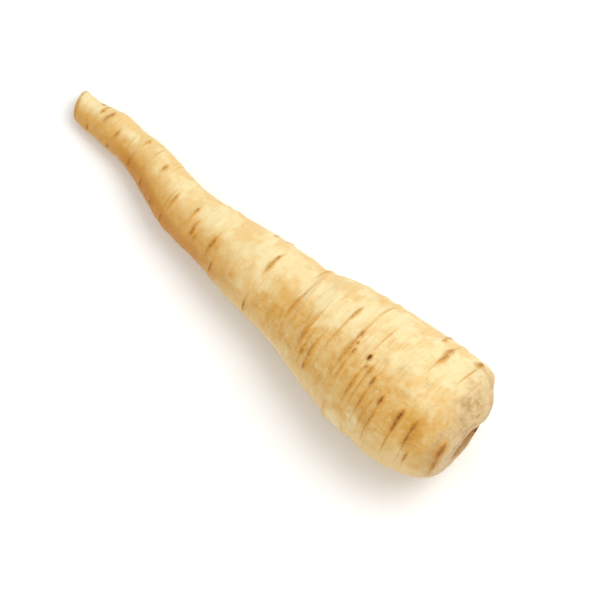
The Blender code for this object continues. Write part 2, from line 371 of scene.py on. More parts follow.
def lump_relief(station, radius, turn):
    point = Vector((station, radius * math.cos(turn), radius * math.sin(turn)))
    return sum(height * noise.noise(point / wavelength + LUMP_SEED) for wavelength, height in LUMPS)


def swelling(turn, side, spread, place=0.0, at=0.0, reach=1.0):
    """1 on one side and at one place, fading to 0 over a spread in degrees and a reach in mm."""
    turned = (math.degrees(turn) - side + 180) % 360 - 180
    return math.exp(-((turned / spread) ** 2) - ((place - at) / reach) ** 2)


def swell_relief(station, turn):
    """The few broad swellings that make the root uneven, and one shoulder rounder."""
    found = 0
    for at, reach, side, spread, height in SWELLS:
        found += height * swelling(turn, side, spread, station, at, reach)
    return found


print(len(LUMPS), "sizes of lumps and", len(SWELLS), "swellings")

# %% Make the crown uneven
LIP_OUT = 0.4                # mm by which all of the lip stands out
LIP_TILT = 0.55              # mm by which the lip stands out further on its low far side
LIP_TILT_SIDE = math.radians(320)
LIP_COVER = 1.3              # mm by which its high near side leans over the hollow
LIP_COVER_SIDE = math.radians(112)
LIP_WAVES = 0.7              # mm, slow ups and downs round the lip
LIP_FOLDS = 0.3              # mm, quick ones
MOUND = 4.4                  # mm, a swelling on the crown's upper shoulder
MOUND_PLACE = (44, 38)       # degrees: its side and its spread
MOUND_RADIUS = (18, 7)       # mm: its distance from the crown's middle and its reach
PINCH = 0.36                 # by what share the hollow is narrower on one side
PINCH_PLACE = (25, 34)
WOBBLES = ((1.1, 0.10, 1.7), (3.5, 0.05, 0.0))        # how quick, share of the radius, seed


def round_noise(turn, quickness, seed):
    """Noise that changes round the root and closes on itself."""
    circle = Vector((math.cos(turn), math.sin(turn), 0))
    return noise.noise(quickness * circle + Vector((0, 0, seed)))


def lip_rise(radius, turn):
    """How far the crown's end stands out round its hollow, uneven as it grew."""
    near = ease(3, 9, radius) * (1 - ease(13, 24, radius))
    waves = LIP_WAVES * round_noise(turn, 1.3, 5.2)
    folds = LIP_FOLDS * round_noise(turn, 4.5, radius / 12)
    out = LIP_OUT + LIP_TILT * max(0, math.cos(turn - LIP_TILT_SIDE))
    out += LIP_COVER * max(0, math.cos(turn - LIP_COVER_SIDE))
    mound = MOUND * swelling(turn, *MOUND_PLACE, radius, *MOUND_RADIUS)
    return near * (out + waves + folds) + mound


def lip_wobble(radius, turn):
    """By what share the hollow is wider or narrower than a circle."""
    near = ease(2, 9, radius) * (1 - ease(12, 20, radius))
    wobble = sum(share * round_noise(turn, quickness, seed) for quickness, share, seed in WOBBLES)
    return near * (wobble - PINCH * swelling(turn, *PINCH_PLACE))


heights = [lip_rise(LIP_RADIUS, math.radians(degrees)) for degrees in range(0, 360, 10)]
print("the lip stands out by", round(min(heights), 1), "to", round(max(heights), 1), "mm")

# %% Lay out the points of the root's skin
SHIFT = np.array((112.21, 1.28, 32.24))       # mm, where the lip's middle lies in the frame


def skin_points():
    """Every point in mm, and its place: along the skin, across, up, hollow, station."""
    bottom = rows[0]
    points = [laid(bottom[0], bottom[2], 0, 0)]
    places = [(bottom[5], 0, 0, 1, bottom[0])]
    for station, radius, bend, rough, hollow, along in rows:
        for k in range(SIDES):
            turn = 2 * math.pi * k / SIDES
            out, rise = radius, 0
            if rough:
                out += rough * (lump_relief(station, radius, turn) + swell_relief(station, turn))
            if station < SHOULDER:
                out *= 1 + lip_wobble(radius, turn)
                rise = lip_rise(radius, turn)
            across, up = out * math.cos(turn), out * math.sin(turn)
            points.append(laid(station - rise, bend, across, HEIGHT_SHARE * up))
            places.append((along, across, up, hollow, station))
    points.append(laid(LENGTH + TAIL_BULGE, rows[-1][2], 0, 0))
    places.append((LENGTH + TAIL_BULGE, 0, 0, 0, LENGTH + TAIL_BULGE))
    return np.array(points) + SHIFT, np.array(places)


points, places = skin_points()
print("the grid reaches from", points.min(0).round(1), "to", points.max(0).round(1), "mm")
print("and the solid from", root_low.round(1), "to", root_high.round(1), "mm")

# %% Build the plain grid of the root
RING_WANDER = 1.4            # mm by which a crease strays along the root
WANDER_LENGTH = 30           # mm of root from one stray to the next


def ring_wander(station, across, up):
    turn = math.atan2(up, across)
    at = Vector((math.cos(turn), math.sin(turn), station / WANDER_LENGTH))
    return RING_WANDER * noise.noise(at)


def skin_faces():
    """Quads between the rows, and a fan that closes each end."""
    faces = []
    last = 1 + (len(rows) - 1) * SIDES
    for k in range(SIDES):
        after = (k + 1) % SIDES
        faces.append((0, 1 + after, 1 + k))
        faces.append((last + k, last + after, last + SIDES))
    for row in range(len(rows) - 1):
        start = 1 + row * SIDES
        for k in range(SIDES):
            after = (k + 1) % SIDES
            faces.append((start + k, start + after, start + SIDES + after, start + SIDES + k))
    return faces


def keep_values(mesh, name, values):
    """Keeps a number, or three, with each point of a mesh."""
    values = np.asarray(values, np.float32)
    kind, field = ("FLOAT", "value") if values.ndim == 1 else ("FLOAT_VECTOR", "vector")
    mesh.attributes.new(name, kind, "POINT").data.foreach_set(field, values.ravel())


def root_grid():
    mesh = bpy.data.meshes.new("taproot_skin")
    mesh.from_pydata((points * MM).tolist(), [], skin_faces())
    keep_values(mesh, "place", places[:, :3])
    keep_values(mesh, "hollow", places[:, 3])
    keep_values(mesh, "station", places[:, 4])
    keep_values(mesh, "wander", [ring_wander(*place) for place in places[:, :3]])
    return add_object("taproot_skin", mesh)


skin = root_grid()
print(len(skin.data.vertices), "points in the grid")

# %% [markdown]
# ## What marks the skin
#
# A parsnip's skin carries four kinds of marks, and all run round the root. *Creases* are
# shallow furrows that go part of the way round. *Scars* are short brown slots where side
# roots broke off. *Streaks* are thin brown hairlines, often at the end of a scar. *Stains*
# are soft patches, greyish or, where their strength is below nothing, warm. Each mark is
# one point of a small helper mesh, with its numbers kept as attributes, so one tree can
# cut them all into the skin.

# %% List the creases
CREASES = (                  # station, depth in mm, middle, half span and slant in degrees
    (8, 0.10, 60, 90, 0), (13, 0.20, 40, 60, 1), (18, 0.15, 200, 130, 0), (24, 0.20, 30, 60, -2),
    (31, 0.15, 10, 60, -2), (35, 0.15, 170, 80, 0), (39, 0.15, 80, 70, -2), (40.0, 0.5, 196, 40, 0),
    (43, 0.20, 280, 110, 1), (46, 0.22, 110, 60, -1), (51, 0.15, 20, 80, 0), (55, 0.15, 85, 70, -2),
    (50.6, 1.1, 190, 42, 1), (63, 0.22, 55, 70, -2), (67, 0.22, 160, 70, 0),
    (71, 0.20, 300, 130, 1), (74.5, 0.25, 120, 60, -1), (80, 0.15, 230, 140, 0),
    (86, 0.45, 60, 100, -7), (94, 0.20, 200, 110, 2), (99, 0.15, 80, 120, 0),
    (111, 0.40, 10, 50, 0), (119, 0.20, 150, 80, 1), (129, 0.25, 170, 90, 0),
    (138, 0.20, 60, 90, 1), (149, 0.20, 100, 80, 0), (160, 0.22, 140, 90, -1),
    (172, 0.22, 60, 90, 0), (180, 0.20, 170, 110, 1), (189, 0.22, 100, 110, 0),
    (200, 0.22, 140, 120, 0), (213, 0.30, 40, 110, 1),
)
print(len(CREASES), "creases, the deepest", max(depth for _, depth, *_ in CREASES), "mm")

# %% List the scars
SCARS = (                    # station, degrees, half length and half width in mm, depth, darkness
    (2.6, 132, 5.5, 1.1, 0.9, 1.0), (2.4, 152, 6, 0.8, 0.5, 0.75), (10.4, 154, 3.6, 0.7, 0.5, 0.65),
    (14.0, 124, 3.6, 1.5, 0.7, 1.2), (13.6, 137, 3.6, 1.0, 0.6, 1.0), (12.6, 130, 7, 2.4, 0.2, 0.3),
    (13.6, 34, 2.6, 1.6, 0.7, 0.75), (20.7, 121, 3.6, 1.4, 1.0, 1.3),
    (20.4, 130, 4.0, 1.2, 0.5, 1.0), (24.7, 49, 3.4, 1.3, 0.8, 0.65),
    (23.8, 59, 3.0, 1.1, 0.7, 0.7), (30.2, 119, 2.6, 1.1, 0.9, 1.2),
    (29.7, 134, 3.4, 0.8, 0.5, 0.65), (31.4, 22, 5, 1.0, 0.3, 0.5), (30.4, 37, 1.8, 0.9, 0.5, 0.6),
    (37.6, 111, 2.4, 1.0, 0.9, 1.05), (37.3, 130, 5.5, 0.8, 0.5, 0.65),
    (41.4, 106, 2.2, 1.0, 0.6, 0.75), (43.6, 106, 1.2, 1.0, 0.3, 0.6),
    (44.9, 98, 1.4, 1.0, 1.3, 2.2), (44.3, 128, 6.5, 0.9, 0.4, 0.5),
    (51.8, 102, 1.8, 0.9, 0.6, 0.75), (52.9, 94.5, 0.9, 0.7, 0.5, 0.9),
    (51.9, 119, 4.5, 0.6, 0.4, 0.5), (54.3, 87, 2.4, 1.0, 0.6, 0.8), (54.2, 105, 6, 1.3, 0.3, 0.4),
    (62.8, 74, 3.2, 0.9, 0.5, 0.55), (67.4, 130, 5, 0.9, 0.4, 0.5),
    (67.2, 147, 2.6, 1.1, 0.6, 0.75), (71.3, 137, 2.4, 1.0, 0.5, 0.7),
    (74.1, 123, 4.5, 1.0, 0.5, 0.6), (86.4, 106, 4.2, 1.2, 0.5, 0.5),
    (106.6, 73, 2.4, 0.8, 0.6, 0.7), (106.4, 86, 2.4, 1.2, 0.6, 0.55),
    (106.7, 158, 3.8, 0.9, 0.7, 0.75), (117.2, 27, 2.2, 0.9, 0.4, 0.5),
    (128.5, 148, 3.2, 0.8, 0.5, 0.8), (133.1, 114, 3.0, 1.0, 0.8, 0.85),
    (133.4, 128, 3.2, 0.8, 0.5, 0.5), (144.4, 121, 2.8, 0.9, 0.7, 0.85),
    (142, 130, 2, 0.8, 0.3, 0.5), (144.7, 108, 2.2, 0.7, 0.5, 0.55),
    (148.7, 87, 1.6, 0.8, 0.5, 0.65), (159.8, 100, 2.4, 0.8, 0.5, 0.5),
    (169.8, 154, 2.0, 0.9, 0.5, 1.0), (173.6, 72, 1.7, 0.9, 0.7, 0.8),
    (179.0, 151, 2.6, 0.9, 0.5, 1.0), (174.2, 158, 1.2, 0.7, 0.3, 0.8),
    (189.1, 142, 2.6, 1.0, 0.7, 0.95), (188.2, 58, 1.3, 0.7, 0.3, 0.5),
    (201.1, 106, 2.2, 0.8, 0.6, 0.7), (208.8, 72, 1.8, 0.9, 0.8, 0.6),
    (209.7, 84, 1.4, 0.9, 0.4, 0.5), (213.3, 74, 1.2, 0.8, 0.5, 0.7),
    (216.1, 30, 1.9, 1.0, 0.7, 1.0), (215.6, 157, 2.2, 0.8, 0.5, 0.95),
    (202.8, 164, 1.8, 0.9, 0.5, 0.9), (161.5, 157, 2.8, 0.9, 0.5, 0.9),
    (3.5, 27, 0.8, 0.8, 0.15, 0.9), (1.8, 14, 0.8, 0.7, 0.1, 0.8), (0.3, 309, 4.0, 0.8, 0.0, 1.5),
    (0.4, 297, 3.0, 0.5, 0.0, 0.7),
)
print(len(SCARS), "scars, the longest", 2 * max(half for _, _, half, *_ in SCARS), "mm")

# %% List the streaks and stains
STREAKS = (                  # station, from and to degrees, half width in mm, darkness
    (2.6, 120, 185, 0.5, 0.5), (10.6, 140, 170, 0.4, 0.4), (13.4, 112, 160, 0.4, 0.4),
    (13.0, 38, 72, 0.4, 0.4), (20.2, 118, 168, 0.45, 0.45), (24.5, 30, 76, 0.4, 0.4),
    (29.9, 108, 168, 0.45, 0.5), (33.4, 118, 160, 0.4, 0.45), (37.3, 98, 156, 0.45, 0.5),
    (36.7, 124, 142, 0.3, 0.5), (41.5, 96, 145, 0.45, 0.5), (44.4, 96, 156, 0.45, 0.45),
    (45.8, 60, 92, 0.35, 0.35), (51.8, 98, 134, 0.45, 0.45), (54.6, 62, 132, 0.5, 0.45),
    (55.4, 30, 70, 0.4, 0.3), (63.2, 64, 116, 0.45, 0.35), (67.3, 104, 158, 0.5, 0.45),
    (71.4, 108, 156, 0.45, 0.45), (74.2, 88, 142, 0.5, 0.45), (75.4, 96, 138, 0.4, 0.35),
    (86.4, 70, 132, 0.6, 0.45), (89.2, 12, 62, 0.5, 0.35), (106.4, 54, 104, 0.5, 0.5),
    (106.6, 138, 176, 0.5, 0.5), (128.4, 130, 168, 0.5, 0.45), (133.2, 92, 156, 0.5, 0.45),
    (144.5, 96, 140, 0.45, 0.45), (148.8, 78, 112, 0.4, 0.4), (159.8, 82, 132, 0.45, 0.4),
    (162.4, 84, 134, 0.35, 0.4), (173.7, 58, 92, 0.4, 0.4), (181.0, 30, 82, 0.35, 0.5),
    (188.3, 42, 86, 0.35, 0.5), (189.0, 100, 166, 0.5, 0.45), (201.1, 84, 128, 0.45, 0.45),
    (209.2, 56, 104, 0.6, 0.5), (213.3, 34, 84, 0.45, 0.5), (216.2, 12, 52, 0.45, 0.6),
    (215.6, 134, 178, 0.5, 0.5), (169.8, 140, 170, 0.4, 0.4), (179.4, 128, 168, 0.4, 0.4),
    (194, 60, 110, 0.3, 0.3),
)
STAINS = (                   # station, degrees, half length along and round in mm, strength
    (5, 78, 5, 5, 0.8), (3, 62, 4, 5, 0.6), (2, 92, 3, 6, 0.4), (19.5, 87, 3, 4, 0.45),
    (31, 88, 3.5, 4, 0.45), (25, 104, 4, 3.5, 0.4), (39, 92, 3, 3, 0.3), (14, 40, 3, 4, 0.3),
    (94, 132, 6, 3.5, -0.9), (102, 142, 3.5, 3.5, -0.8), (118, 131, 3, 3, -0.8),
    (39.4, 138, 0.9, 1, -1.0), (4, 150, 4, 9, 0.3), (210, 96, 3, 2.5, 0.5), (14, 122, 6, 7, -0.5),
    (66, 104, 6, 5, -0.35), (34, 138, 7, 8, -0.4), (88, 108, 5, 6, -0.3), (61, 42, 13, 8, -0.28),
    (40, 110, 7, 9, -0.35),
)
print(len(STREAKS), "streaks and", len(STAINS), "stains")

# %% Scatter marks where nothing was listed
HIDDEN_SIDES = (195, 370)    # degrees
HIDDEN_SEED = 11
HIDDEN_SCARS = (30, 8, 218)  # how many, from which station to which
HIDDEN_STREAKS = (46, 5, 215)
HIDDEN_STAINS = (8, 5, 150)


def scattered(draw, count, low, high):
    """Stations spread evenly between low and high, each moved a little, and degrees for each."""
    for i in range(count):
        share = (i + draw.random()) / count
        yield low + (high - low) * share, draw.uniform(*HIDDEN_SIDES), 1 - 0.5 * share


def hidden_marks():
    """Scars, streaks and stains as in the lists, on the sides that the lists leave bare."""
    draw = random.Random(HIDDEN_SEED)
    drawn = draw.uniform
    scars = [
        (at, turn, drawn(3, 7) * size, drawn(0.6, 0.9), drawn(0.25, 0.55), drawn(0.5, 0.9))
        for at, turn, size in scattered(draw, *HIDDEN_SCARS)
    ]
    streaks = [
        (at, turn - drawn(12, 30), turn + drawn(12, 30), drawn(0.3, 0.5), drawn(0.25, 0.5))
        for at, turn, _ in scattered(draw, *HIDDEN_STREAKS)
    ]
    stains = [
        (at, turn, drawn(3, 6), drawn(5, 9), drawn(-0.5, 0.5))
        for at, turn, _ in scattered(draw, *HIDDEN_STAINS)
    ]
    return scars, streaks, stains


more_scars, more_streaks, more_stains = hidden_marks()
print(len(more_scars) + len(more_streaks) + len(more_stains), "marks scattered")

# %% Write all the marks down in one form
CREASE_WIDTH = 1.5           # mm
CREASE_PUFF = 0.45           # how high the skin swells beside a crease, as a share of its depth
SCAR_PUFF = 0.25
STREAK_DEPTH = 0.12          # mm
STREAK_PUFF = 0.2
STREAK_STRAYS = 0.2          # how much a streak strays with the creases
SCAR_SPAN = 1.25             # how far a scar's ends taper off, as a share of its half length
LEAST_STATION = 10           # mm, below which the girth isn't looked up


def degrees_of(length, station):
    """The angle that a length in mm covers on the root at a station."""
    return math.degrees(length / girth_at(max(LEAST_STATION, station))[0])


def all_marks():
    """Rows of spot (station, degrees, slant), size (half width, half span, depth), puff and tone.

    Puff is how high the skin swells on the crown's side and on the tail's side, and how
    far the mark strays. Tone is how much it shows as a crease, as a scar and as a stain.
    """
    marks = []
    for at, depth, turn, span, slant in CREASES:
        size = CREASE_WIDTH, span, depth
        marks.append((at, turn, slant, *size, CREASE_PUFF, CREASE_PUFF, 1, 1, 0, 0))
    for at, turn, half, width, depth, dark in (*SCARS, *more_scars):
        size = width, SCAR_SPAN * degrees_of(half, at), depth * ease(240, 100, at)
        marks.append((at, turn, 0, *size, SCAR_PUFF, 0, 0, 0, dark, 0))
    for at, start, end, width, dark in (*STREAKS, *more_streaks):
        size = width, (end - start) / 2, STREAK_DEPTH
        puff = STREAK_PUFF, STREAK_PUFF, STREAK_STRAYS
        marks.append((at, (start + end) / 2, 0, *size, *puff, 0, dark, 0))
    for at, turn, along, round_, strength in (*STAINS, *more_stains):
        marks.append((at, turn, 0, along, degrees_of(round_, at), 0, 0, 0, 0, 0, 0, strength))
    return np.array(marks, np.float32)


def marks_helper():
    """A mesh of loose points, one for each mark, that the tree reads and nothing shows."""
    marks = all_marks()
    mesh = bpy.data.meshes.new("marks")
    mesh.from_pydata([(0, 0, 0)] * len(marks), [], [])
    for column, name in enumerate(("spot", "size", "puff", "tone")):
        keep_values(mesh, name, marks[:, 3 * column:3 * column + 3])
    helper = add_object("marks", mesh)
    helper.hide_render = True
    return helper


marks = marks_helper()
print(len(marks.data.vertices), "marks")

# %% [markdown]
# ## Cutting the marks with Geometry Nodes
#
# Sculpting two hundred small furrows by hand would take days and could not be changed
# later. A node tree does it from the list: a *repeat zone* goes through the marks one by
# one, works out how far each point of the skin is from the mark, and adds the mark's
# furrow to an attribute. After the last mark the skin is moved along its normals by the
# sum. The tree also keeps what it found as attributes, and the material reads them, so
# that the brown always lies in the slot.
#
# Node trees get long, so the first cell makes them short to write. A *wire* is what comes
# out of a node, and two wires can be added or multiplied as if they were numbers.

# %% Let wires be added and multiplied
NUMBER_NODES = (("add", "ADD"), ("sub", "SUBTRACT"), ("mul", "MULTIPLY"), ("truediv", "DIVIDE"))


class Wire:
    """What comes out of a node. Sums and products of wires are Math nodes."""

    def __init__(self, socket):
        self.socket = socket
        self.tree = socket.id_data

    def __abs__(self):
        return maths("ABSOLUTE", self)


for name, operation in NUMBER_NODES:
    setattr(Wire, f"__{name}__", lambda a, b, operation=operation: maths(operation, a, b))
    setattr(Wire, f"__r{name}__", lambda b, a, operation=operation: maths(operation, a, b))


def join(value, socket):
    """Leads a wire into a socket, or sets the socket to a plain value."""
    if isinstance(value, Wire):
        value.tree.links.new(value.socket, socket)
    else:
        socket.default_value = value


def put(tree, kind, inputs=(), **settings):
    """A new node with its settings, and its inputs by name or number."""
    made = tree.nodes.new(kind)
    for name, value in settings.items():
        setattr(made, name, value)
    for key, value in dict(inputs).items():
        join(value, made.inputs[key])
    return made


def out_of(tree, kind, inputs=(), output=0, **settings):
    """The wire that comes out of a new node."""
    return Wire(put(tree, kind, inputs, **settings).outputs[output])


def maths(operation, *values):
    tree = next(value.tree for value in values if isinstance(value, Wire))
    return out_of(tree, "ShaderNodeMath", dict(enumerate(values)), operation=operation)


print("signs that wires understand:", ", ".join(operation.lower() for _, operation in NUMBER_NODES))

# %% Helpers for the nodes that are used most
def faded(value, low, high, start=0.0, end=1.0):
    """Goes smoothly from start, where value is at low, to end, where it is at high."""
    inputs = {"Value": value, "From Min": low, "From Max": high, "To Min": start, "To Max": end}
    return out_of(value.tree, "ShaderNodeMapRange", inputs, interpolation_type="SMOOTHSTEP")


def noise_of(vector, scale, detail=2.0, roughness=0.5, **inputs):
    settings = {"noise_dimensions": "4D"} if "W" in inputs else {}
    inputs |= {"Vector": vector, "Scale": scale, "Detail": detail, "Roughness": roughness}
    return out_of(vector.tree, "ShaderNodeTexNoise", inputs, **settings)


def parts_of(vector):
    made = put(vector.tree, "ShaderNodeSeparateXYZ", {"Vector": vector})
    return [Wire(part) for part in made.outputs]


def vector_of(x, y, z):
    return out_of(x.tree, "ShaderNodeCombineXYZ", {"X": x, "Y": y, "Z": z})


def scaled(vector, scale):
    inputs = {0: vector, "Scale": scale}
    return out_of(vector.tree, "ShaderNodeVectorMath", inputs, operation="SCALE")


def new_tree(kind, name, inputs, output):
    """A tree, the wires that its named inputs give, and the socket that takes what it puts out.

    Each input comes with its kind, or with the plain number that it starts at.
    """
    tree = bpy.data.node_groups.new(name, kind)
    for title, start in inputs.items():
        number = not isinstance(start, str)
        socket_type = "NodeSocket" + ("Float" if number else start)
        socket = tree.interface.new_socket(title, in_out="INPUT", socket_type=socket_type)
        if number:
            socket.default_value = start
    title, start = output
    tree.interface.new_socket(title, in_out="OUTPUT", socket_type="NodeSocket" + start)
    given = {socket.name: Wire(socket) for socket in put(tree, "NodeGroupInput").outputs}
    return tree, given, put(tree, "NodeGroupOutput").inputs[title]


helpers = faded, noise_of, parts_of, vector_of, scaled, new_tree
print("helpers:", ", ".join(helper.__name__ for helper in helpers))

# %% Start the tree
NO_SCAR = -2.0               # what the scar attribute starts at, well below a scar's border
relief_tree, given, relief_out = new_tree("GeometryNodeTree", "skin relief", {
    "Geometry": "Geometry", "Marks": "Object", "Wrinkle Height": "Float",
    "Wrinkle Spacing": "Float", "Seed": "Float", "Finish": "Material",
}, ("Geometry", "Geometry"))


def named(name, data_type="FLOAT"):
    """An attribute of the mesh, in the tree of the relief."""
    kind, inputs = "GeometryNodeInputNamedAttribute", {"Name": name}
    return out_of(relief_tree, kind, inputs, "Attribute", data_type=data_type)


def stored(geometry, name, value):
    inputs = {"Geometry": geometry, "Name": name, "Value": value}
    settings = {"data_type": "FLOAT", "domain": "POINT"}
    return out_of(geometry.tree, "GeometryNodeStoreNamedAttribute", inputs, **settings)


place = named("place", "FLOAT_VECTOR")
along, across, up = parts_of(place)
geometry = stored(given["Geometry"], "degrees", maths("DEGREES", maths("ARCTAN2", up, across)))
for name, start in (("relief", 0.0), ("crease", 0.0), ("scar", NO_SCAR), ("stain", 0.0)):
    geometry = stored(geometry, name, start)
print(len(relief_tree.nodes), "nodes in the tree")

# %% One mark's share
SHOWN_TO = 0.55              # share of its span up to which a mark keeps its full depth
PUFF_AWAY = 2.0              # half widths from a mark to the swellings beside it


def bell(value):
    """exp(-value squared)"""
    return maths("EXPONENT", value * value * -1.0)


def mark_share(marks_points, index):
    """What the mark at an index does to each point: its relief, crease, scar and stain."""
    def read(name):
        inputs = {"Geometry": marks_points, "Value": named(name, "FLOAT_VECTOR"), "Index": index}
        settings = {"data_type": "FLOAT_VECTOR"}
        return parts_of(out_of(relief_tree, "GeometryNodeSampleIndex", inputs, "Value", **settings))

    at, turn, slant = read("spot")
    width, span, depth = read("size")
    puff_crown, puff_tail, strays = read("puff")
    is_crease, is_scar, is_stain = read("tone")
    turned = maths("WRAP", named("degrees") - turn, 180.0, -180.0)
    off = named("station") - at + named("wander") * strays - slant * (turned / 100.0)
    off = off / width
    share = abs(turned) / span
    shown = faded(share, SHOWN_TO, 1.0, 1.0, 0.0)
    edges = puff_crown * bell(off + PUFF_AWAY) + puff_tail * bell(off - PUFF_AWAY)
    relief = (edges - bell(off)) * (shown * depth)
    away = abs(off)
    lens = 1.0 - share * share - away
    crease = shown * is_crease * (1.0 - away)
    # Any other mark stays well below a scar's border, so that it leaves the skin round it alone.
    no_scar = (maths("SIGN", is_scar) - 1.0) * -NO_SCAR
    scar = maths("MINIMUM", lens, 0.0) + maths("MAXIMUM", lens, 0.0) * is_scar + no_scar
    reach = maths("SQRT", off * off + share * share)
    stain = faded(reach, 0.0, 1.0, 1.0, 0.0) * is_stain
    return relief, crease, scar, stain


print("a mark keeps its depth up to", SHOWN_TO, "of its span, then fades")

# %% Go through all the marks
def repeat_zone(geometry, count):
    """The two ends of a zone that passes a geometry through its nodes again and again."""
    start = put(geometry.tree, "GeometryNodeRepeatInput")
    end = put(geometry.tree, "GeometryNodeRepeatOutput")
    start.pair_with_output(end)
    end.repeat_items.clear()
    end.repeat_items.new("GEOMETRY", "Geometry")
    join(count, start.inputs["Iterations"])
    join(geometry, start.inputs["Geometry"])
    return start, end


marks_points = out_of(relief_tree, "GeometryNodeObjectInfo", {"Object": given["Marks"]}, "Geometry")
count = out_of(
    relief_tree, "GeometryNodeAttributeDomainSize", {"Geometry": marks_points}, "Point Count",
    component="MESH",
)
start, end = repeat_zone(geometry, count)
relief, crease, scar, stain = mark_share(marks_points, Wire(start.outputs["Iteration"]))
geometry = stored(Wire(start.outputs["Geometry"]), "relief", named("relief") + relief)
geometry = stored(geometry, "crease", maths("MAXIMUM", named("crease"), crease))
geometry = stored(geometry, "scar", maths("MAXIMUM", named("scar"), scar))
geometry = stored(geometry, "stain", named("stain") + stain)
join(geometry, end.inputs["Geometry"])
geometry = Wire(end.outputs["Geometry"])
print(len(relief_tree.nodes), "nodes, with the zone that goes through the marks")

# %% Add wrinkles
WRINKLE_HEIGHT = 0.13        # mm
WRINKLE_SPACING = 2.6        # mm from one wrinkle to the next
WRINKLE_LENGTH = 20.0        # mm that a wrinkle runs round the root
WRINKLE_SEED = 4.0

# Noise that changes fast along the root and slowly round it makes wrinkles.
squeezed = vector_of(
    (along + named("wander")) / given["Wrinkle Spacing"],
    across / WRINKLE_LENGTH, up / WRINKLE_LENGTH,
)
wrinkles = (noise_of(squeezed, 1.0, 2.0, 0.55, W=given["Seed"]) - 0.5) * 2.0
# They are strong in patches only, and everywhere at the crown's end.
strength = faded(noise_of(place, 0.06, 1.0), 0.38, 0.62, 0.25, 1.0)
strength = strength + faded(along, 8.0, 0.0, 0.0, 1.2)
wrinkles = wrinkles * strength * given["Wrinkle Height"]
geometry = stored(geometry, "relief", named("relief") + wrinkles)
print(len(relief_tree.nodes), "nodes, with wrinkles")

# %% Move the skin
def moved(geometry, **to):
    inputs = {"Geometry": geometry, **to}
    return out_of(geometry.tree, "GeometryNodeSetPosition", inputs)


def finished(geometry, finish):
    """Smooth, and in its material."""
    geometry = out_of(geometry.tree, "GeometryNodeSetShadeSmooth", {"Geometry": geometry})
    inputs = {"Geometry": geometry, "Material": finish}
    return out_of(geometry.tree, "GeometryNodeSetMaterial", inputs)


# The skin moves along its normals, less inside the hollow and not at all on the cut tail.
on_wall = faded(named("hollow"), 0.4, 0.0, 0.3, 1.0)
before_cut = faded(along, LENGTH - 1.0, LENGTH - 4.0)
height = named("relief") * (on_wall * before_cut)
normal = out_of(relief_tree, "GeometryNodeInputNormal")
geometry = moved(geometry, Offset=scaled(normal, height * MM))

# What would sink into the surface that the root lies on is pressed flat.
x, y, z = parts_of(out_of(relief_tree, "GeometryNodeInputPosition"))
geometry = moved(geometry, Position=vector_of(x, y, maths("MAXIMUM", z, 0.0)))
geometry = out_of(relief_tree, "GeometryNodeRealizeInstances", {"Geometry": geometry})
join(finished(geometry, given["Finish"]), relief_out)
print(len(relief_tree.nodes), "nodes in the whole tree")

# %% [markdown]
# ## The skin's colours
#
# Washed parsnip skin is cream to golden, never one colour: warmer in the furrows, tan in
# patches, greyer at the crown where the leaves stood. Some of the colour is painted light
# and shade: the side that the lamp lights is painted paler; the side turned from it golden,
# the tail's underside amber and the sunken skin browner, partly as the skin's own tone and
# partly as painted shade; and the deep hollow dark as painted shade. The material mixes
# those colours by masks. Some masks are the attributes that the tree left, with noise on
# their edges so that no slot has a drawn outline. The others are noises in the root's own
# straight coordinates, stretched so that they run round it. What the leaf bases need too,
# the fine streaks and the specks, is made as groups that both materials use.

# %% Make a group for streaks
def streak_group():
    """Noise drawn out across the first axis, with a chosen spacing along it."""
    group, given, out = new_tree("ShaderNodeTree", "streaks", {
        "Vector": "Vector", "Spacing": 1.0, "Length": 12.0, "Low": 0.45, "High": 0.65,
    }, ("Amount", "Float"))
    x, y, z = parts_of(given["Vector"])
    drawn = vector_of(x / given["Spacing"], y / given["Length"], z / given["Length"])
    join(faded(noise_of(drawn, 1.0, 3.0, 0.6), given["Low"], given["High"]), out)
    return group


STREAK_GROUP = streak_group()
print(len(STREAK_GROUP.nodes), "nodes in the group for streaks")

# %% Make a group for specks
def speck_group():
    """Round specks in a few cells of a Voronoi pattern."""
    group, given, out = new_tree("ShaderNodeTree", "specks", {
        "Vector": "Vector", "Spacing": 6.0, "Size": 0.12, "Share": 0.3,
    }, ("Mask", "Float"))
    where = scaled(given["Vector"], 1.0 / given["Spacing"])
    cells = put(group, "ShaderNodeTexVoronoi", {"Vector": where, "Scale": 1.0, "Randomness": 1.0})
    chosen = maths("LESS_THAN", parts_of(Wire(cells.outputs["Color"]))[0], given["Share"])
    near = faded(Wire(cells.outputs["Distance"]), given["Size"], given["Size"] * 0.5)
    join(chosen * near, out)
    return group


SPECK_GROUP = speck_group()
print(len(SPECK_GROUP.nodes), "nodes in the group for specks")

# %% Helpers to mix colours
def grouped(group, vector, **inputs):
    return out_of(vector.tree, "ShaderNodeGroup", {"Vector": vector, **inputs}, node_tree=group)


def streaks(vector, spacing, length, low, high):
    return grouped(STREAK_GROUP, vector, Spacing=spacing, Length=length, Low=low, High=high)


def specks(vector, spacing, size, share):
    return grouped(SPECK_GROUP, vector, Spacing=spacing, Size=size, Share=share)


def attribute(tree, name, output="Fac"):
    return out_of(tree, "ShaderNodeAttribute", (), output, attribute_name=name)


def tinted(below, colour, amount):
    """The colour below, covered by another where amount is 1."""
    inputs = {0: amount, 6: below, 7: colour}
    return out_of(amount.tree, "ShaderNodeMix", inputs, 2, data_type="RGBA")


def bumped(height, strength, distance, shader):
    inputs = {"Height": height, "Strength": strength, "Distance": distance}
    join(out_of(height.tree, "ShaderNodeBump", inputs, "Normal"), shader.inputs["Normal"])


def paint(red, green, blue):
    """A colour as it is seen, made linear for the renderer."""
    return tuple(((v / 255 + 0.055) / 1.055) ** 2.4 for v in (red, green, blue)) + (1.0,)


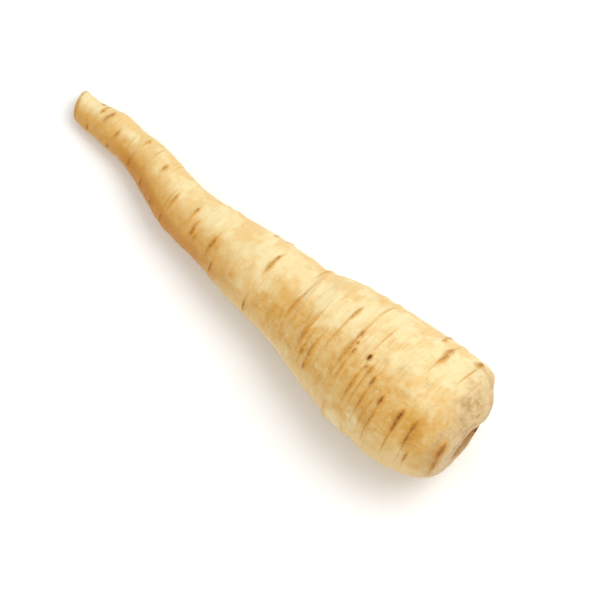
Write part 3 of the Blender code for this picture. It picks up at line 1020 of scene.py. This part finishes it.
CREAM = paint(231, 214, 163)
print("cream in linear values:", [round(v, 3) for v in CREAM])

# %% Start the skin's material with cream
CREAM_DEEP = paint(224, 193, 132)
PALE_LIT_SIDE = math.radians(84)      # the side painted palest, seen round the root, where the lamp lights it most: painted light

finish, shader = new_material("parsnip skin")
tree = finish.node_tree
place = attribute(tree, "place", "Vector")
along, across, up = parts_of(place)
relief, crease, scar, stain, hollow = (
    attribute(tree, name) for name in ("relief", "crease", "scar", "stain", "hollow")
)
turn = maths("ARCTAN2", up, across)


def facing(side):
    """1 where the root faces a side, -1 opposite to it."""
    return maths("COSINE", turn - side)


# Away from that side the cream is painted deeper as painted shade, over noise that is the skin's
# own uneven tone, and it turns deeper towards the tail.
away = 1.0 - facing(PALE_LIT_SIDE)
deeper_and_shaded = noise_of(place, 0.09, 3.0, 0.5) + faded(away, 0.0, 0.40, -0.08, 0.05)
deeper_and_shaded = deeper_and_shaded + faded(away, 0.5, 1.1, 0.0, 0.06) + faded(along, 115.0, 160.0, 0.0, 0.10)
colour = tinted(CREAM, CREAM_DEEP, faded(deeper_and_shaded, 0.40, 0.60))
print(len(tree.nodes), "nodes in the skin's material so far")

# %% Turn one side golden, partly as painted shade
GOLD_AND_SHADE = paint(211, 164, 80)
GOLD_SHADE_SIDE = math.radians(128)     # the side painted golden, turned from the lamp: partly its own tone, partly painted shade
GOLD_TURN = math.radians(28)      # how much further round it lies near the tail
GOLD_REACH = 0.30                 # how ragged its border is


def gold_and_shade_share():
    """1 on the side turned from the lamp, fading raggedly to 0 on the others: golden as the skin's
    own tone and as painted shade.
    """
    side = faded(along, 90.0, 150.0, GOLD_SHADE_SIDE, GOLD_SHADE_SIDE + GOLD_TURN)
    border = noise_of(place, 0.11, 5.0, 0.6) - 0.5
    reach = faded(along, 110.0, 150.0, 2 * GOLD_REACH, 1.2 * GOLD_REACH)
    paler = faded(abs(along - 115.0), 20.0, 4.0, 0.0, 0.20)
    widening = faded(along, 90.0, 200.0, 0.0, 0.14) - paler
    wandering = along + noise_of(place, 0.05, 5.0, 0.65) * 110.0
    least = faded(wandering, 135.0, 215.0, 0.72, 0.27)
    share = faded(facing(side) + border * reach + widening, least, 1.04)
    return share * faded(along, -6.0, 6.0)


gold_and_shade = gold_and_shade_share()
colour = tinted(colour, GOLD_AND_SHADE, gold_and_shade * 0.88)
print(len(tree.nodes), "nodes so far")

# %% Turn the tail's underside amber, partly as painted shade
AMBER_AND_SHADE = paint(187, 116, 16)
AMBER_LOW = math.radians(172)     # where the tail is painted darkest as painted shade, first low on its side
AMBER_HIGH = math.radians(151)    # and then higher
AMBER_FROM, AMBER_FULL = 86.0, 158.0          # mm, where the amber begins and is full
AMBER_DRIFT = 70.0                # mm, how widely its beginning varies

# The tail's underside is painted amber: partly its own tone, partly painted shade where less light
# reaches it.
darkest_shade = faded(along, 145.0, 180.0, AMBER_LOW, AMBER_HIGH)
amber_and_shade = faded(facing(darkest_shade), 0.80, 0.99, 0.22, 0.85)
drift = (noise_of(place, 0.06, 5.0, 0.65) - 0.5) * AMBER_DRIFT
amber_and_shade = amber_and_shade * faded(along + drift, AMBER_FROM, AMBER_FULL)
amber_and_shade = amber_and_shade * faded(along, 208.0, 188.0, 0.25, 1.0) * gold_and_shade
colour = tinted(colour, AMBER_AND_SHADE, amber_and_shade)
print(len(tree.nodes), "nodes so far")

# %% Lay patches, veins and grains over it
PALE_VEIN = paint(226, 184, 112)
FURROW = paint(201, 143, 48)
VEIN_LAYERS = (              # noise scale, detail and roughness, where it shows, how strongly
    (0.36, 5.0, 0.7, 0.53, 0.62, 0.52), (0.95, 3.0, 0.6, 0.52, 0.64, 0.24),
)

# The veins turn browner and stronger where the side is painted golden, so they carry its painted
# shade too.
vein = tinted(PALE_VEIN, FURROW, gold_and_shade)
mottled = faded(gold_and_shade, 0.0, 1.0, 0.45, 1.1)
patches = streaks(place, 5.0, 11.0, 0.51, 0.61)
colour = tinted(colour, vein, patches * mottled * 0.50)
for scale, detail, roughness, low, high, strength in VEIN_LAYERS:
    shown = faded(noise_of(place, scale, detail, roughness), low, high)
    colour = tinted(colour, vein, shown * mottled * strength)
lighter = faded(noise_of(place, 0.30, 5.0, 0.7), 0.48, 0.39)
lighter = lighter * faded(along, 115.0, 150.0, 0.24, 0.12) * faded(amber_and_shade, 0.0, 0.9, 1.0, 0.3)
colour = tinted(colour, CREAM, lighter * mottled)
bands = streaks(place, 2.2, 24.0, 0.47, 0.72)
colour = tinted(colour, vein, bands * 0.26)
print(len(tree.nodes), "nodes so far")

# %% Darken hairlines and furrows
hairs = streaks(place, 0.6, 12.0, 0.52, 0.74)
hairy = faded(noise_of(place, 0.09, 2.0), 0.42, 0.6, 0.1, 0.45)
colour = tinted(colour, FURROW, hairs * hairy)
# Where the skin sinks in it is painted browner: partly the furrows' own colour, partly painted
# shade.
colour = tinted(colour, FURROW, faded(relief, -0.12, -0.55) * 0.25)
colour = tinted(colour, FURROW, faded(crease + hairs * 0.3, 0.75, 1.1) * 0.25)
print(len(tree.nodes), "nodes so far")

# %% Dull the crown
CROWN_BEIGE = paint(199, 170, 124)
GREY_OLIVE = paint(164, 126, 62)
SCAR_BROWN = paint(158, 100, 30)
WORN_SIDE = math.radians(40)      # where the crown's duller colour reaches furthest down
WORN_TO = (9.0, 19.0)             # mm, how far it reaches elsewhere and on that side
WORN_RAGGED = 16.0                # mm, how ragged its border is

uneven = (noise_of(place, 0.22, 4.0, 0.6) - 0.5) * WORN_RAGGED
crown = faded(along + uneven, faded(facing(WORN_SIDE), 0.3, 0.95, *WORN_TO), -2.0)
colour = tinted(colour, CROWN_BEIGE, crown * 0.8)
smudge = crown * faded(noise_of(place, 0.20, 4.0, 0.6), 0.47, 0.62)
colour = tinted(colour, GREY_OLIVE, smudge * 0.5)
rings = streaks(place, 1.1, 9.0, 0.48, 0.68)
colour = tinted(colour, SCAR_BROWN, rings * crown * 0.24)
rim = faded(along + uneven * 0.35, -6.0, -12.0)
colour = tinted(colour, SCAR_BROWN, rim * 0.4)
print(len(tree.nodes), "nodes so far")

# %% Brown the scars and streaks
SCAR_DARK = paint(80, 46, 18)

ragged = noise_of(place, 1.1, 5.0, 0.75) - 0.5
edge = scar + ragged * 1.9
halo = faded(scar + ragged * 1.2, -1.1, 0.5)
colour = tinted(colour, tinted(FURROW, AMBER_AND_SHADE, amber_and_shade), halo * 0.66)
colour = tinted(colour, SCAR_BROWN, faded(edge, 0.0, 0.85, 0.0, 0.85))
colour = tinted(colour, SCAR_DARK, faded(edge, 0.7, 1.3, 0.0, 0.9))
print(len(tree.nodes), "nodes so far")

# %% Lay stains and specks
PALE_SPECK = paint(240, 232, 210)

blotchy = faded(noise_of(place, 0.38, 4.0, 0.6), 0.36, 0.62, 0.25, 0.95)
colour = tinted(colour, GREY_OLIVE, maths("MAXIMUM", stain, 0.0) * blotchy)
colour = tinted(colour, FURROW, maths("MAXIMUM", stain * -1.0, 0.0) * blotchy)
pale = specks(place, 6.0, 0.07, 0.45)
colour = tinted(colour, PALE_SPECK, pale * faded(scar, -0.4, -0.9) * 0.8)
dots = specks(place, 4.6, 0.09, 0.16)
colour = tinted(colour, SCAR_BROWN, dots * 0.45)
print(len(tree.nodes), "nodes so far")

# %% Finish both ends
CUT_FACE = paint(206, 174, 120)
HOLLOW_WALL = paint(212, 165, 98)
HOLLOW_SHADE = paint(84, 56, 26)
CORE_FROM, CORE_TO = 2.2, 3.6     # mm from the tail's middle, where its pale core ends

core = maths("SQRT", across * across + up * up)
face = tinted(CREAM, CUT_FACE, faded(core + ragged * 1.5, CORE_FROM, CORE_TO))
colour = tinted(colour, face, faded(along, LENGTH - 0.6, LENGTH + 0.1))
dried = faded(abs(along - (LENGTH - 1.4)), 1.2, 0.0)
colour = tinted(colour, SCAR_BROWN, dried * faded(ragged, -0.15, 0.1, 0.1, 0.6))
colour = tinted(colour, HOLLOW_WALL, faded(hollow, 0.02, 0.2))
# Deep in the hollow the wall is painted dark brown: painted shade.
colour = tinted(colour, HOLLOW_SHADE, faded(hollow + ragged * 0.6, 0.40, 0.85))
join(colour, shader.inputs["Base Color"])
print(len(tree.nodes), "nodes so far")

# %% Give the skin its sheen and grain
worn = faded(noise_of(place, 0.8, 3.0), 0.3, 0.7, 0.44, 0.60)
join(worn + faded(edge, 0.1, 0.8, 0.0, 0.25), shader.inputs["Roughness"])
shader.inputs["Subsurface Weight"].default_value = 0.12
shader.inputs["Subsurface Radius"].default_value = (1.0, 0.6, 0.25)
shader.inputs["Subsurface Scale"].default_value = 0.0015     # metres
shader.inputs["IOR"].default_value = 1.4
fine = streaks(place, 0.8, 8.0, 0.2, 0.8)
height = fine * 0.4 + noise_of(place, 2.2, 3.0, 0.6) * 0.25
bumped(height - faded(edge, 0.2, 0.8, 0.0, 0.8), 0.5, 0.00022, shader)
print(len(tree.nodes), "nodes in the skin's material")

# %% Grow the skin
def grown(piece, tree, name, **values):
    """The piece as its tree makes it from the given inputs: a plain mesh without modifiers."""
    modifier = piece.modifiers.new(tree.name, "NODES")
    modifier.node_group = tree
    # A modifier knows its inputs by their identifiers, not by their names.
    for item in tree.interface.items_tree:
        key = item.name.replace(" ", "_").lower()
        if item.in_out == "INPUT" and key in values:
            modifier[item.identifier] = values[key]
    graph = bpy.context.evaluated_depsgraph_get()
    mesh = bpy.data.meshes.new_from_object(
        piece.evaluated_get(graph), preserve_all_data_layers=True, depsgraph=graph
    )
    bpy.data.objects.remove(piece)
    mesh.name = name
    return add_object(name, mesh)


def triangles_of(piece):
    return sum(len(face.vertices) - 2 for face in piece.data.polygons)


skin = grown(
    skin, relief_tree, "taproot_skin", marks=marks, wrinkle_height=WRINKLE_HEIGHT,
    wrinkle_spacing=WRINKLE_SPACING, seed=WRINKLE_SEED, finish=finish,
)
bpy.data.objects.remove(marks)
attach(skin, "root")
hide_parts("taproot")
print("skin triangles:", triangles_of(skin))

# %% [markdown]
# ## What is left of the leaves
#
# The leaves were cut off just above the crown. Their stalks leave dry crescents in the
# hollow, ring inside ring, brown outside and torn at the top, on a dark pad. Each stub is
# laid as a closed loop that is drawn up from the pad, with ribs along it, because a leaf
# stalk is a bundle of strings. It is closed below, and its torn top dips in the middle.

# %% List the stubs
PAD_DEPTH = 5.2              # mm below the lip, at the pad's edge
PAD_RADIUS = 8.6
PAD_DOME = 1.6               # mm by which its middle is higher
PAD_GAP = 0.35               # mm between the pad and the hollow
STUBS = (                    # distance in mm, degrees, span, thickness and height in mm
    (7.0, 20, 96, 2.2, 4.8), (6.8, 142, 104, 2.1, 3.2), (7.1, 256, 88, 2.2, 3.2),
    (4.4, 78, 112, 1.8, 4.2), (4.5, 205, 108, 1.9, 3.6), (5.9, 331, 60, 2.0, 6.2),
    (2.1, 130, 130, 1.3, 4.6), (2.0, 300, 140, 1.3, 4.6),
)


def in_hollow(depth, across, up):
    """A point of the crown's hollow, in metres: depth below the lip, and its place across it."""
    return (Vector(laid(depth, LIP_SHIFT, across, up * HEIGHT_SHARE)) + Vector(SHIFT)) * MM


middle = in_hollow(PAD_DEPTH - PAD_DOME, 0, 0)
print("the pad's middle lies at", [round(v / MM, 1) for v in middle], "mm")

# %% Lay one stub
STUB_LEAN = 0.16             # mm outwards for each mm upwards
STUB_SINK = 0.8              # mm of each stub inside the pad
STUB_AROUND = 72             # points round a stub
STUB_LEVELS = 12
RIB_HEIGHT = 0.16            # mm
TORN = 0.85                  # mm by which the torn edge goes up and down
ENDS_LOWER = 0.15            # share of its height by which a stub's two ends are lower
TOP_RINGS = ((0.82, 0.0), (0.6, 0.25), (0.3, 0.5))   # how far in, and how deep
STUB_SEEDS = 9.0             # how far apart the stubs' noises are


def stub_loop(stub, number, share, inward=1.0, dip=0.0):
    """One level of a stub: its points, and the grain coordinates that its fibres follow."""
    distance, degrees, span, thickness, height = stub
    seed = STUB_SEEDS * number
    loop, grain = [], []
    for k in range(STUB_AROUND):
        phi = 2 * math.pi * k / STUB_AROUND
        c, s = math.cos(phi), math.sin(phi)
        ribs = noise.noise(Vector((4.5 * c * span / 90, 4.5 * s, seed)))
        fray = noise.noise(Vector((5.0 * c, 3.0 * s, seed + 4.0)))
        rise = share * (height * (1 - ENDS_LOWER * c ** 2) + TORN * fray) - dip
        out = thickness / 2 * s + RIB_HEIGHT * ribs * (0.4 + 0.6 * share)
        radius = distance + out * inward + STUB_LEAN * rise
        turn = math.radians(degrees + span / 2 * c * (1 - 0.5 * (1 - inward)))
        depth = PAD_DEPTH + STUB_SINK - rise
        loop.append(in_hollow(depth, radius * math.cos(turn), radius * math.sin(turn)))
        along = phi * (distance * math.radians(span) + thickness) / math.pi
        grain.append((along, rise, 20.0 * number))
    return loop, grain


def stub_levels(stub, number):
    levels = [stub_loop(stub, number, level / STUB_LEVELS) for level in range(STUB_LEVELS + 1)]
    return levels + [stub_loop(stub, number, 1.0, inward, dip) for inward, dip in TOP_RINGS]


print(len(stub_levels(STUBS[0], 1)), "levels in a stub")

# %% Lay the pad under them
PAD_RINGS = 16
PAD_AROUND = 72
PAD_ROUGH = 0.35             # mm
PAD_GRAIN = 300.0            # keeps the pad's grain away from the stubs'


def pad_loop(share, below):
    """One ring of the pad's top, or of its underside, which follows the hollow."""
    loop, grain = [], []
    for k in range(PAD_AROUND):
        turn = 2 * math.pi * k / PAD_AROUND
        radius = PAD_RADIUS * share
        wall = 1 - (radius / (LIP_RADIUS - PAD_GAP)) ** HOLLOW_ROUND
        depth = (HOLLOW_DEPTH - PAD_GAP) * wall ** (1 / HOLLOW_ROUND)
        across, up = radius * math.cos(turn), radius * math.sin(turn)
        if not below:
            rough = PAD_ROUGH * noise.noise(Vector((across / 1.2, up / 1.2, 2.0))) * (1 - share**4)
            depth = PAD_DEPTH - PAD_DOME * (1 - share * share) - rough
        loop.append(in_hollow(depth, across, up))
        grain.append((across, up, PAD_GRAIN + depth))
    return loop, grain


shares = [ring / PAD_RINGS for ring in range(1, PAD_RINGS + 1)]
pad = [pad_loop(share, True) for share in shares]
pad += [pad_loop(share, False) for share in reversed(shares)]
print(len(pad), "rings in the pad")

# %% Close them into one mesh
def add_shell(verts, faces, grains, loops):
    """Closes a stack of loops into one shell, with a fan at its foot and at its top."""
    start = len(verts)
    for loop, grain in loops:
        verts.extend(loop)
        grains.extend(grain)
    n = len(loops[0][0])
    for level in range(len(loops) - 1):
        for k in range(n):
            a, b = start + level * n + k, start + level * n + (k + 1) % n
            faces.append((a, b, b + n, a + n))
    last = start + (len(loops) - 1) * n
    for first, backwards in ((start, True), (last, False)):
        verts.append(sum(verts[first:first + n], Vector()) / n)
        grains.append(tuple(np.mean(grains[first:first + n], axis=0)))
        for k in range(n):
            a, b = first + k, first + (k + 1) % n
            faces.append((b, a, len(verts) - 1) if backwards else (a, b, len(verts) - 1))


def leaf_base_mesh():
    verts, faces, grains = [], [], []
    for loops in (pad, *(stub_levels(stub, number + 1) for number, stub in enumerate(STUBS))):
        add_shell(verts, faces, grains, loops)
    mesh = bpy.data.meshes.new("leaf_stubs_dry")
    mesh.from_pydata(verts, [], faces)
    keep_values(mesh, "grain", grains)
    bm = bmesh.new()
    bm.from_mesh(mesh)
    bmesh.ops.recalc_face_normals(bm, faces=bm.faces)
    bm.to_mesh(mesh)
    bm.free()
    return mesh


leaf_base = add_object("leaf_stubs_dry", leaf_base_mesh())
print(len(leaf_base.data.polygons), "faces in the leaf bases")

# %% [markdown]
# ## Frayed fibres
#
# Where the stalks were cut, loose strings stand up. They repeat, so Geometry Nodes place
# them: points scattered over the faces that look out of the crown, a thin tapered cone
# instanced on each, turned and sized at random from a fixed seed.

# %% Start the fibre tree
FACES_OUT = 0.55             # how squarely a face has to look out of the crown to grow fibres
FIBRE_CORNERS = 5
FIBRE_SEGMENTS = 3
FIBRE_TAPER = 0.25           # share of its radius that a fibre keeps at its tip

fibre_tree, given, fibre_out = new_tree("GeometryNodeTree", "frayed fibres", {
    "Geometry": "Geometry", "Density": "Float", "Length": "Float", "Radius": "Float",
    "Tilt": "Float", "Seed": "Int", "Finish": "Material",
}, ("Geometry", "Geometry"))
outwards = parts_of(out_of(fibre_tree, "GeometryNodeInputNormal"))[0]
chosen = out_of(
    fibre_tree, "FunctionNodeCompare", {"A": outwards, "B": FACES_OUT}, "Result",
    data_type="FLOAT", operation="GREATER_THAN",
)
spread = put(fibre_tree, "GeometryNodeDistributePointsOnFaces", {
    "Mesh": given["Geometry"], "Selection": chosen, "Density": given["Density"],
    "Seed": given["Seed"],
})
fibre = out_of(fibre_tree, "GeometryNodeMeshCone", {
    "Vertices": FIBRE_CORNERS, "Side Segments": FIBRE_SEGMENTS,
    "Radius Top": given["Radius"] * FIBRE_TAPER, "Radius Bottom": given["Radius"],
    "Depth": given["Length"],
}, "Mesh", fill_type="NGON")
print(len(fibre_tree.nodes), "nodes, for the points and one fibre")

# %% Turn the fibres and put them in their places
ANY_TURN = 3.1               # radians either way, nearly half a turn
SMALLEST, LARGEST = 0.35, 1.2     # shares of a fibre's full size

negative = given["Tilt"] * -1.0
tilt = out_of(fibre_tree, "FunctionNodeRandomValue", {
    "Min": vector_of(negative, negative, -ANY_TURN),
    "Max": vector_of(given["Tilt"], given["Tilt"], ANY_TURN), "Seed": given["Seed"],
}, "Value", data_type="FLOAT_VECTOR")
size = out_of(fibre_tree, "FunctionNodeRandomValue", {
    2: SMALLEST, 3: LARGEST, "Seed": given["Seed"],      # its two sockets for plain numbers
}, 1, data_type="FLOAT")
turned = out_of(fibre_tree, "FunctionNodeRotateRotation", {
    "Rotation": Wire(spread.outputs["Rotation"]),
    "Rotate By": out_of(fibre_tree, "FunctionNodeEulerToRotation", {"Euler": tilt}),
}, rotation_space="LOCAL")
placed = out_of(fibre_tree, "GeometryNodeInstanceOnPoints", {
    "Points": Wire(spread.outputs["Points"]), "Instance": fibre, "Rotation": turned, "Scale": size,
}, "Instances")
fibres = out_of(fibre_tree, "GeometryNodeRealizeInstances", {"Geometry": placed})
both = put(fibre_tree, "GeometryNodeJoinGeometry")
for part in (fibres, given["Geometry"]):
    join(part, both.inputs[0])
join(finished(Wire(both.outputs[0]), given["Finish"]), fibre_out)
print(len(fibre_tree.nodes), "nodes in the whole tree")

# %% [markdown]
# ## The leaf bases' colours
#
# Dry leaf stalk is dark brown with paler strings. The streaks are the same group as on
# the skin, but they follow the grain attribute, so they run up each stub, not round it.

# %% Mix the leaf bases
DRY_DARK = paint(88, 50, 16)
DRY_BROWN = paint(150, 94, 36)
DRY_STRING = paint(186, 140, 82)
DRY_MOULD = paint(128, 112, 66)

dry_finish, shader = new_material("dried leaf base")
tree = dry_finish.node_tree
grain = attribute(tree, "grain", "Vector")
rise = parts_of(grain)[1]
here = out_of(tree, "ShaderNodeTexCoord", (), "Object")
strings = streaks(grain, 0.35, 6.0, 0.42, 0.62)
blotch = faded(noise_of(here, 420.0, 4.0, 0.65), 0.42, 0.62)
colour = tinted(DRY_DARK, DRY_BROWN, blotch)
colour = tinted(colour, DRY_STRING, strings * 0.5)
torn = faded(rise + blotch * 0.8, 3.4, 5.0, 0.0, 0.65)
colour = tinted(colour, DRY_STRING, torn * faded(rise, 20.0, 10.0))
colour = tinted(colour, DRY_MOULD, faded(noise_of(here, 900.0, 3.0), 0.55, 0.7, 0.0, 0.4))
colour = tinted(colour, DRY_DARK, specks(grain, 1.2, 0.2, 0.3) * 0.7)
join(colour, shader.inputs["Base Color"])
join(faded(strings, 0.0, 1.0, 0.9, 0.72), shader.inputs["Roughness"])
bumped(strings * 0.7 + blotch * 0.3, 0.7, 0.0002, shader)
print(len(tree.nodes), "nodes in the leaf bases' material")

# %% Fray the stubs
FIBRE_DENSITY = 1.5e6        # for each square metre
FIBRE_LENGTH = 0.0013        # metres
FIBRE_RADIUS = 0.00012
FIBRE_TILT = 0.6             # radians
FIBRE_SEED = 7

leaf_base = grown(
    leaf_base, fibre_tree, "leaf_stubs_dry", density=FIBRE_DENSITY, length=FIBRE_LENGTH,
    radius=FIBRE_RADIUS, tilt=FIBRE_TILT, seed=FIBRE_SEED, finish=dry_finish,
)
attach(leaf_base, "root")
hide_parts("leaf_stubs")
print("leaf base triangles:", triangles_of(leaf_base))
